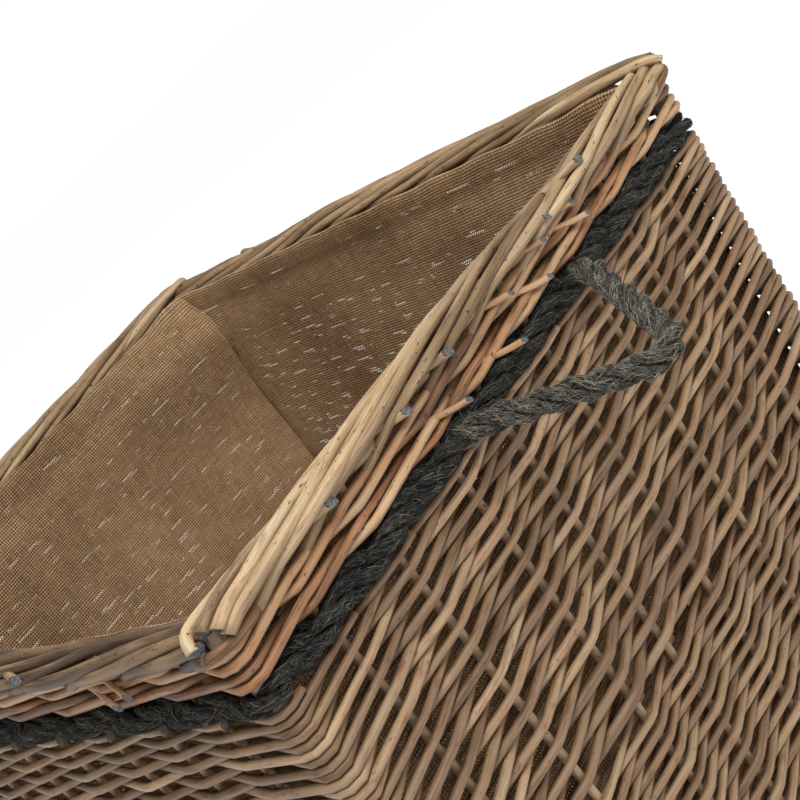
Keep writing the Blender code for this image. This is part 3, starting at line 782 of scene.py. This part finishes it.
def build_border():
    """The rolled border, one rod to each upright, and at each corner the next side's roll on top."""
    wide = BORDER_HIGH.x - half_sizes(BORDER_MIDDLE)[0]
    tall = (BORDER_HIGH.z - BORDER_LOW.z) / 2
    long = (BORDER_SPACINGS + 1) * SPACING
    sides = [Side(post) for post in POSTS]
    piece = Piece()
    for before, side, painted_light_tones in zip([sides[-1], *sides[:-1]], sides, BORDER_PAINTED_LIGHT_TONES.values()):
        carried = before.starts - 2 * before.half
        for start in [*carried[carried > CORNER_SPARE - long], *side.starts]:
            low = max(start, -dice.uniform(*CORNER_POKE))
            high = min(start + long, 2 * side.half + dice.uniform(*CORNER_STRAY))
            half = BORDER_THICK / 2 * np.clip(dice.normal(1.0, BORDER_SPREAD), *BORDER_LIMITS)
            line = border_line(side, start, low, high, wide - half, tall - half)
            gone = np.linspace(low - start, high - start, len(line)) / long
            half = half * mix(*BORDER_TAPER, gone)
            # Each rod's tone comes from its side's range, which paints light and shade onto the sides.
            piece.rods(line[None], half[None], sides=14, tone=dice.uniform(*painted_light_tones), slant=0.4)
        hook = side.place(*(np.array(CORNER_HOOK) + (0.0, 0.0, BORDER_HIGH.z)).T)
        piece.rods(through(hook, 6)[None], BORDER_THICK / 2, sides=14, tone=0.85, slant=0.3)
        short_ends(piece, side, BORDER_ENDS, OTHER_BORDER_ENDS, wide - BORDER_END_IN,
                   lambda z: BORDER_MIDDLE + BORDER_END_ROOT, BORDER_END_HALF, tone=0.4)
    return piece.make("border_rods", [BORDER_SKIN, CUT], ["border"])


def build_wale_ends():
    """Cut ends of the top wale's rods that stand out between its strands, and its rods' corner turns."""
    piece = Piece()
    for side in map(Side, POSTS):
        short_ends(piece, side, WALE_ENDS, OTHER_WALE_ENDS, WALE_END_OUT,
                   lambda z: z + WALE_END_RISE, WALE_END_HALF)
        turn = side.place(*(np.array(CORNER_TURN) + (0.0, 0.0, BORDER_HIGH.z)).T)
        piece.rods(through(turn, 8)[None], WALE_THICK * 0.56, sides=14, tone=0.1)
    return piece.make("wale_rod_ends", [WALE_SKIN, CUT])


def frames_of(line):
    """Ahead, out and up along a line that never stands upright."""
    ahead = unit(np.gradient(line, axis=0))
    out = unit(np.cross(ahead, UP))
    return ahead, out, np.cross(out, ahead)


def strands_of(line, half):
    """Middle lines of a rope's three strands: each goes round it once in a lay, like a screw's thread."""
    ahead, out, up = frames_of(line)
    away = (np.broadcast_to(half, len(line)) * STRAND_AWAY_SHARE)[:, None]
    angles = [(TURN * (strand / 3 - run_of(line) / LAY))[:, None] for strand in range(3)]
    return [line + away * (np.cos(angle) * out + np.sin(angle) * up) for angle in angles]


def lay_rope(piece, line, half, sides):
    """The three strands of a rope round its middle line, each with its yarns."""
    thick = np.broadcast_to(half, len(line)) * STRAND_SHARE
    for number, strand in enumerate(strands_of(line, half)):
        piece.rods(strand[None], thick[None], sides=sides, tone=number / 2, yarns=YARNS)


def grow_fibres(piece, line, count, longest, thick, lift, turn=0.9, steps=3, facing=-2.0):
    """Fibres on a rope's strands, as thin tapered rods.

    A fibre starts on the outer face of a strand and runs along it. It turns about the strand evenly,
    and its distance from the strand's middle grows with the square of the way along it. Fibres grow
    only where the strand faces outwards by more than a share of its distance from the rope's middle.
    """
    t = np.linspace(0.0, 1.0, steps)
    out = frames_of(line)[1]
    for strand in strands_of(line, ROPE_HALF):
        run = run_of(strand)
        long = longest * dice.uniform(0.3, 1.0, (count // 3, 1))
        shown = (unit(strand - line) * out).sum(axis=1) > facing
        roots = dice.choice(run[shown & (run < run[-1] - longest)], long.shape)
        start = roots + dice.uniform(0.0, run[1], long.shape)
        places = start + long * np.where(dice.uniform(0.0, 1.0, long.shape) < 0.5, t, 1 - t)
        here, middle, ahead = (read_along(values, run, places.ravel()) for values in
                               (strand, line, frames_of(strand)[0]))
        away = unit(here - middle)
        beside = np.cross(ahead, away)
        angle = dice.uniform(-FIBRE_FACING, FIBRE_FACING, long.shape) + dice.normal(0.0, turn, long.shape) * t
        stray = lift * np.abs(dice.normal(0.0, 1.0, long.shape)) * t * t
        rise = ROPE_HALF * STRAND_SHARE * (FIBRE_SINK + stray)
        angle, rise = angle.reshape(-1, 1), rise.reshape(-1, 1)
        points = here + rise * (np.cos(angle) * away + np.sin(angle) * beside)
        piece.rods(points.reshape(-1, steps, 3), thick / 2 * (1.2 - 0.6 * t), sides=3)


def fibre_piece(name, line, kinds, material, body="basket"):
    """Loose fibres of one or two kinds on a rope, as one piece."""
    loose = Piece()
    for kind in kinds:
        grow_fibres(loose, line, **kind)
    return loose.make(name, [material, material], body=body)


def band_line(rope):
    """Middle line and half thickness of one of the two ropes of the band.

    It is outside at every other upright, and the other rope at the rest. Between two uprights the rope
    that goes in passes over the one that comes out, and both are squeezed a little thinner.
    """
    stops = np.arange(COUNT // 2, COUNT // 2 + COUNT + 1)
    outside = (stops + rope) % 2 == 0
    reach = np.where(outside, BAND_OUT, -BAND_IN)[None]
    heights = np.full((1, len(stops)), ROPE_MIDDLE)
    line = weave(stops[None], heights, reach, 0.0, 0.0, steps=BAND_RUNS, stiff=0.3)[0][1:-1]
    share = np.concatenate([np.zeros(2), np.arange(BAND_RUNS) / BAND_RUNS])
    hump = np.sin(math.pi * share)
    rise = np.concatenate([np.outer(np.where(outside[:-1], 1.0, -1.0), hump).ravel(), np.zeros(3)])
    squeeze = np.concatenate([np.tile(1 - BAND_SQUEEZE * hump, COUNT), np.ones(3)])
    line[:, 2] += BAND_CROSS * rise
    run = run_of(line)
    even = np.linspace(0.0, run[-1], int(run[-1] / BAND_STEP))
    return read_along(line, run, even), ROPE_HALF * np.interp(even, run, squeeze)


def build_rope_band():
    """The band of two ropes that are twined round the uprights, and their loose fibres."""
    for number in (1, 2):
        line, half = band_line(number)
        piece = Piece()
        lay_rope(piece, line, half, 16)
        piece.make(f"band_rope_{number}", [BAND_JUTE, BAND_JUTE], ["rope_band"])
        fibre_piece(f"band_fibres_{number}", line, BAND_HAIRS, BAND_FIBRES)
        fibre_piece(f"band_fluff_{number}", line, BAND_FLUFF, BAND_FIBRES)


def loop_line(sign):
    """Middle line of a handle, from inside the wall over the bend and back into the wall.

    In its own plane it is two straight legs that lean together and meet in an arc. The angle at which
    a leg touches the arc comes nearer with each try. The plane droops. The handle on the left is the
    one on the right turned half round.
    """
    arc_x = LOOP_REACH - LOOP_BEND
    sweep = math.pi / 2 - math.atan2(LOOP_SPAN / 2, LOOP_REACH)
    for _ in range(8):
        touch = (arc_x + LOOP_BEND * math.cos(sweep), LOOP_SPAN / 2 - LOOP_BEND * math.sin(sweep))
        sweep = math.pi / 2 - math.atan2(touch[1], touch[0])
    angle = np.linspace(-sweep, sweep, 9)
    arc = np.stack([arc_x + LOOP_BEND * np.cos(angle), LOOP_BEND * np.sin(angle)], axis=1)
    root = np.array([0.0, -LOOP_SPAN / 2])
    leg = mix(root, arc[0], np.arange(5)[:, None] / 5)
    tuck = np.array([(x, root[1] - y) for x, y in LOOP_TUCK])
    half = np.concatenate([tuck, leg])
    flat = np.concatenate([half, arc, half[::-1] * (1.0, -1.0)])
    droop = np.where(flat[:, 0] > 0, LOOP_DROOP, 0.0)
    line = np.stack([flat[:, 0] * np.cos(droop), flat[:, 1], -flat[:, 0] * np.sin(droop)], axis=1)
    line += (LOOP_LINE, LOOP_OFFSET, ROPE_MIDDLE)
    return line * (sign, sign, 1.0)


def build_loops():
    """The two rope handles, whose ends are tucked into the wall, and their loose fibres, as pieces outside
    the basket's body.
    """
    for name, sign in (("right", 1.0), ("left", -1.0)):
        line = through(loop_line(sign), 8)
        run = run_of(line)
        line = read_along(line, run, np.linspace(0.0, run[-1], int(run[-1] / LOOP_STEP)))
        piece = Piece()
        lay_rope(piece, line, ROPE_HALF, 20)
        rope = piece.make(f"rope_handle_{name}", [LOOP_JUTE, LOOP_JUTE], [f"handle_{name}"],
                          body=None)
        loose = fibre_piece(f"handle_fibres_{name}", line, LOOP_HAIRS, LOOP_FIBRES, body=None)
        root = (sign * LOOP_LINE, sign * LOOP_OFFSET, ROPE_MIDDLE)
        for item in (rope, loose):
            root[0] - sign * ROPE_HALF
            root[0] + sign * ROPE_HALF
            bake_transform(item)
        tuck = len(LOOP_TUCK)
        tuple(loop_line(sign)[tuck])


def lining_section():
    """The lining's section from behind its folded hem down to the floor, and its distances down the cloth."""
    points = [(inward, HEM_TOP + rise) for inward, rise in HEM_SECTION] + [
        (0.0140, BORDER_LOW.z - 0.0120), (0.0130, ROPE_MIDDLE), (0.0112, ROPE_LOW.z - 0.0100),
        (0.0102, mix(RAND_LOW.z, RAND_HIGH.z, 0.5)), (0.0102, mix(LOWER_LOW.z, LOWER_HIGH.z, 0.5)),
        (0.0115, FOOT_HIGH.z + 0.0060), (0.0145, BASE_HIGH.z + 0.0045), (0.0205, BASE_HIGH.z + 0.0012)]
    line = through(np.array([(*point, 0.0) for point in points]), 12)
    run = run_of(line)
    coarse = np.linspace(HEM_DEPTH, run[-1], int((run[-1] - HEM_DEPTH) / CLOTH_CELL))
    v = np.concatenate([np.arange(0.0, HEM_DEPTH, CLOTH_CELL / 4), coarse])
    return read_along(line, run, v), v


def fold_fade(u, corner, before, after):
    """1 at a corner, falling exponentially with the distance round the bag on either side of it."""
    away = (u[:-1] - corner + u[-1] / 2) % u[-1] - u[-1] / 2
    return np.exp(-np.abs(away) / np.where(away < 0, before, after))


def bag_ring():
    """Once round the bag: shares of a rectangle's half sides, and the level way out of the cloth."""
    side = np.linspace(-1.0, 1.0, LINING_COLUMNS + 1)[:-1]
    side = mix(side, side * (1.5 - 0.5 * side ** 2), COLUMN_CROWD)
    turn = np.linspace(0.0, math.pi / 2, CORNER_COLUMNS + 1)[:-1]
    shares, angles = [], []
    for quarter in range(4):
        normal = np.array([math.cos(quarter * math.pi / 2), math.sin(quarter * math.pi / 2)]).round()
        along = np.array([-normal[1], normal[0]])
        shares += [normal + along * side[:, None], np.tile(normal + along, (len(turn), 1))]
        angles += [np.full(len(side), quarter * math.pi / 2), quarter * math.pi / 2 + turn]
    angles = np.concatenate(angles)
    return np.concatenate(shares), np.stack([np.cos(angles), np.sin(angles)], axis=-1)


def bag_wall(section, v):
    """The wall's points, row by row down the cloth, the distances round it and those of its corners.

    A ring is a rectangle with round corners. Its point is share x and share y of the rectangle of the
    corners' middles, and the corner's radius further on along its way out. Ears pull the corners out
    as a bell curve, and the hem rises and falls in a sine wave, with a bell curve past each corner.
    """
    shares, normals = bag_ring()
    corner = mix(*CORNER_ROUND, smooth(v / ROUND_SLOPE))
    inner = np.stack(half_sizes(section[:, 1]), axis=-1) - (section[:, 0] + corner)[:, None]
    ring = inner[:, None] * shares + corner[:, None, None] * normals
    middle = ring[len(v) // 2]
    around = np.linalg.norm(np.diff(middle, axis=0, append=middle[:1]), axis=-1)
    u = np.concatenate([[0.0], around.cumsum()])
    corners = u[:-1].reshape(4, -1)[:, LINING_COLUMNS + CORNER_COLUMNS // 2]
    pull = section[:, 0] + (1 - math.sqrt(0.5)) * corner - CORNER_NEAR
    pull = pull * (mix(EAR_LEAST, 1.0, smooth((v - EAR_DEPTH) / EAR_SLOPE))
                   - smooth((v - v[-1]) / FOOT_SLOPE + 1))
    ears = pull[:, None] * sum(
        share * np.exp(-((u[:-1] - place) / EAR_WIDE) ** 2) for place, share in zip(corners, EARS))
    ring = ring + np.sign(shares) * ears[..., None] + drape(u, v, corners, normals)
    wall = np.concatenate([ring, np.broadcast_to(section[:, 1, None, None], (*ring.shape[:2], 1))], axis=-1)
    rise = sum(np.exp(-((u[:-1] - place - RISE_AFTER) / RISE_WIDE) ** 2)
               for place in (*corners, corners[-1] - u[-1]))
    lift = HEM_WAVE * np.sin(TURN * u[:-1] / HEM_WAVE_LONG) + HEM_RISE * rise
    wall[..., 2] += lift * (1 - smooth(v / HEM_DEPTH))[:, None]
    return wall, u, corners


def drape(u, v, corners, normals):
    """How the cloth hangs inwards, as level offsets at distances round the bag and from the hem.

    Three tilted sine waves round the bag, and before each corner a bulge: the distance to the corner
    over that of the crest, times e to the power of 1 less that. The crest sways as it goes down. All
    of it fades out at the hem and at the floor. The wall after a corner hangs in as well, most of all
    a little below the hem, and draws the cloth before the corner with it.
    """
    low = smooth((v[-1] - v) / FLOOR_SLOPE)
    wave = np.zeros((len(v), len(u) - 1))
    for turns, size in WAVES:
        tilt, phase = dice.uniform(-WAVE_TILT, WAVE_TILT), dice.uniform(0.0, TURN)
        angle = TURN * turns * (u[:-1] / u[-1]) + tilt * v[:, None] / v[-1] + phase
        wave += size * (0.5 + 0.5 * np.sin(angle))
    for corner, size in zip(corners, POUCHES):
        crest = POUCH_AWAY * (1 + POUCH_SWAY * np.sin(v / SWAY_LONG + corner))[:, None]
        ahead = np.maximum(corner - u[:-1], 0.0) / crest
        wave += size * ahead * np.exp(1 - ahead)
    wave *= (smooth((v - HEM_DEPTH / 2) / HANG_SLOPE) * low)[:, None]
    hang = -normals * wave[..., None]
    slack = smooth(v / SLACK_DEPTH) * (1 - SLACK_LOSS * smooth((v - SLACK_DEPTH) / LOSS_SLOPE)) * low
    for number, (corner, size) in enumerate(zip(corners, SLACKS)):
        fade = fold_fade(u, corner, SLACK_BEFORE, SLACK_AFTER)
        into = -normals[(number + 1) % 4 * (len(u) - 1) // 4]
        hang = hang + into * (size * slack[:, None] * fade)[..., None]
    return hang


def cell_corners(grid):
    """The values at the four corners of each cell of a grid: here, next row, next of both, next column."""
    return np.stack([grid[:-1, :-1], grid[1:, :-1], grid[1:, 1:], grid[:-1, 1:]], axis=2)


def build_lining():
    """The hessian bag, one sheet: a wall that is folded out and down at its hem, and a floor.

    The wall's rings follow its section and hang in waves. The floor's rings shrink evenly to a point in
    the middle, over small bumps. The map named cloth is the distance round and down on the wall, and
    x and y on the floor. Painted shade darkens the folds of the corners.
    """
    section, v = lining_section()
    wall, u, corners = bag_wall(section, v)
    shrink = np.linspace(1.0, 0.0, FLOOR_RINGS + 2)[1:-1, None, None]
    floor = wall[-1] * shrink
    bump = np.sin(BUMP_TURNS[0] * floor[..., 0]) * np.sin(BUMP_TURNS[1] * floor[..., 1])
    floor[..., 2] = BASE_HIGH.z + FLOOR_RISE + FLOOR_BUMP * bump - FLOOR_DIP * (1 - shrink[..., 0])
    points = np.concatenate([wall, floor])
    rows, columns = points.shape[:2]
    number = np.arange(rows * columns).reshape(rows, columns)
    number = np.concatenate([number, number[:, :1]], axis=1)
    pole = np.full(columns, rows * columns)
    fan = np.stack([number[-1, :-1], pole, number[-1, 1:]], axis=-1)
    flat = np.concatenate([points[len(v) - 1:, :, :2], np.zeros((1, columns, 2))])
    flat = cell_corners(np.concatenate([flat, flat[:, :1]], axis=1))
    around = cell_corners(np.stack(np.meshgrid(v, u, indexing="ij")[::-1], axis=-1))
    points = np.append(points, (0.0, 0.0, BASE_HIGH.z + FLOOR_RISE - FLOOR_DIP)).reshape(-1, 3)
    mesh = bpy.data.meshes.new("lining")
    mesh.from_pydata(points, [], cell_corners(number).reshape(-1, 4).tolist() + fan.tolist())
    mesh.uv_layers.new(name="cloth").data.foreach_set("uv", np.concatenate([
        around.ravel(), flat[:-1].ravel(), flat[-1][:, (0, 1, 3)].ravel()]))
    mesh.polygons.foreach_set("use_smooth", np.ones(len(mesh.polygons), bool))
    mesh.materials.append(HESSIAN)
    # Painted shade in the corners' folds, strongest on one side of each corner.
    soil = np.max([fold_fade(u, corner, FOLD_SHADE_BEFORE, FOLD_SHADE_AFTER) for corner in corners], axis=0)
    soil = soil * (smooth((v - FOLD_SHADE_DEPTH) / FOLD_SHADE_SLOPE) * smooth((v[-1] - v) / FOOT_SLOPE))[:, None]
    soil = np.append(soil, np.zeros(len(mesh.vertices) - soil.size))
    mesh.attributes.new("soil", "FLOAT", "POINT").data.foreach_set("value", soil)
    piece = place_in_scene("hessian_lining", mesh)
    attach(piece, "basket")
    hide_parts("lining")


def build_base():
    """The woven floor: seven sticks along X, and rods across them, over one and under the next by turns.

    A rod's height is a cosine whose half turns end at the sticks.
    """
    names = [f"base_stick_{number}" for number in range(1, 8)]
    sticks = [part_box(name) for name in names]
    y = np.array([(low.y + high.y) / 2 for low, high in sticks])
    y.sort()
    z = (sticks[0][0].z + sticks[0][1].z) / 2
    ends = (sticks[0][0].x, sticks[0][1].x)
    piece = Piece()
    x = np.linspace(*ends, BASE_STICK_RINGS)
    shake = dice.normal(0.0, BASE_STICK_SHAKE, (len(names), BASE_STICK_RINGS))
    lines = np.stack(np.broadcast_arrays(x, y[:, None], z + shake), axis=-1)
    piece.rods(lines, BASE_STICK_THICK / 2, sides=12)
    piece.make("base_sticks", [POST_SKIN, CUT], names)
    thick = BASE_ROD_THICK
    weavers = int((BASE_HIGH.x - BASE_LOW.x) / (thick * BASE_ROD_PITCH))
    places = np.linspace(BASE_LOW.x + thick / 2, BASE_HIGH.x - thick / 2, weavers)
    stations = np.concatenate([[BASE_LOW.y], y, [BASE_HIGH.y]])
    across = np.linspace(BASE_LOW.y + BASE_ROD_SHORT, BASE_HIGH.y - BASE_ROD_SHORT, BASE_ROD_RINGS)
    swing = np.interp(across, stations, np.arange(len(stations))) * math.pi
    rods = Piece()
    for parity in (0, 1):
        chosen = places[parity::2, None]
        rise = (BASE_STICK_THICK + thick) / 2 * BASE_ROD_SWING * np.cos(swing) * (1 if parity else -1)
        shake = dice.normal(0.0, BASE_ROD_SHAKE, (len(chosen), BASE_ROD_RINGS))
        lines = np.stack(np.broadcast_arrays(chosen + shake, across, z + rise), axis=-1)
        rods.rods(lines, thick / 2, sides=8)
    rods.make("base_rods", [RAND_SKIN, CUT], ["base_weave"])


def build_camera():
    """The camera, where the photograph was taken from."""
    data = bpy.data.cameras.new("camera")
    data.lens = CAMERA_LENS
    data.clip_start = 0.01
    camera = place_in_scene("camera", data)
    sight = Vector((math.cos(CAMERA_HEADING) * math.cos(CAMERA_DIP),
                    math.sin(CAMERA_HEADING) * math.cos(CAMERA_DIP), -math.sin(CAMERA_DIP)))
    level = sight.to_track_quat("-Z", "Y").to_matrix().to_4x4()
    camera.matrix_world = Matrix.Translation(CAMERA_PLACE) @ level @ Matrix.Rotation(-CAMERA_ROLL, 4, "Z")
    bpy.context.scene.camera = camera


def build_studio():
    """A pale floor, a bright room and one broad soft lamp overhead."""
    mesh = bpy.data.meshes.new("floor")
    corners = FLOOR_HALF * np.array([(-1, -1, 0), (1, -1, 0), (1, 1, 0), (-1, 1, 0)])
    mesh.from_pydata(corners, [], [(0, 1, 2, 3)])
    finish = Finish("pale_floor", 0.9, 0.2)
    finish.shader.inputs["Base Color"].default_value = (FLOOR_TONE, FLOOR_TONE, FLOOR_TONE, 1.0)
    finish.shader.inputs["Emission Color"].default_value = (1.0, 1.0, 1.0, 1.0)
    finish.shader.inputs["Emission Strength"].default_value = FLOOR_GLOW
    mesh.materials.append(finish.material)
    place_in_scene("floor", mesh)
    world = bpy.data.worlds.new("studio")
    world.use_nodes = True
    tree = world.node_tree
    room = tree.nodes["Background"]
    room.inputs["Color"].default_value = (1.0, 1.0, 1.0, 1.0)
    seen = tree.nodes.new("ShaderNodeLightPath")
    strength = tree.nodes.new("ShaderNodeMapRange")
    strength.inputs["To Min"].default_value = ROOM_LIGHT
    tree.links.new(seen.outputs["Is Camera Ray"], strength.inputs["Value"])
    tree.links.new(strength.outputs["Result"], room.inputs["Strength"])
    bpy.context.scene.world = world
    lamp = bpy.data.lights.new("softbox", "AREA")
    lamp.size = LAMP_SIZE
    lamp.energy = LAMP_POWER
    holder = place_in_scene("softbox", lamp)
    holder.location = LAMP_PLACE
    aim = Vector(LAMP_AIM) - Vector(LAMP_PLACE)
    holder.rotation_euler = aim.to_track_quat("-Z", "Y").to_euler()
    bpy.context.scene.view_settings.view_transform = "Standard"


# Painted light: the stakes' shades are paler than the rods', to offset the shade they lie in between the
# rods.
STAKE_SKIN = willow("stake_willow", [(0.0, (128, 102, 76)), (1.0, (190, 162, 130))], 0.6)
POST_SKIN = willow("post_willow", [(0.0, (120, 104, 84)), (1.0, (180, 164, 140))], 0.7)
RAND_SKIN = willow("rand_willow", [
    (0.0, (72, 52, 34)), (0.3, (114, 87, 61)), (0.6, (147, 117, 86)),
    (1.0, (192, 164, 130))], 0.42, speckle=0.6)
BORDER_SKIN = willow("border_willow", [
    (0.0, (62, 44, 27)), (0.35, (122, 97, 68)), (0.65, (172, 145, 110)), (1.0, (222, 202, 168))])
WALE_SKIN = willow("wale_willow", [
    (0.0, (66, 42, 26)), (0.3, (118, 82, 54)), (0.42, (160, 112, 74)), (0.60, (170, 132, 94)),
    (1.0, (210, 180, 144))], 0.42)
CUT = cut_willow()
# The band and the handles are one rope: the band's jute and fibres are painted darker, as painted shade, and
# the handles' lighter, as painted light.
BAND_JUTE, LOOP_JUTE = jute("band_jute", 0.9), jute("loop_jute", 1.12)
BAND_FIBRES = fibres("band_fibres", [
    (0.0, (20, 20, 20)), (0.5, (52, 52, 50)), (0.9, (92, 90, 84)), (1.0, (150, 144, 128))])
LOOP_FIBRES = fibres("loop_fibres", [
    (0.0, (24, 24, 23)), (0.45, (76, 74, 68)), (0.8, (134, 129, 114)), (1.0, (206, 197, 170))])
HESSIAN = hessian()

build_camera()
build_loops()
build_studio()
build_uprights()
french_rand("upper_rand", RAND_LOW.z, RAND_HIGH.z, UPPER_LAYERS)
french_rand("lower_rand", LOWER_LOW.z, LOWER_HIGH.z, LOWER_LAYERS)
wale("top_wale", WALE_LOW.z, WALE_HIGH.z, WALE_SKIN, WALE_THICK)
wale("foot_wale", FOOT_LOW.z, FOOT_HIGH.z, RAND_SKIN, FOOT_WALE_THICK)
build_border()
build_wale_ends()
build_rope_band()
build_base()
build_lining()
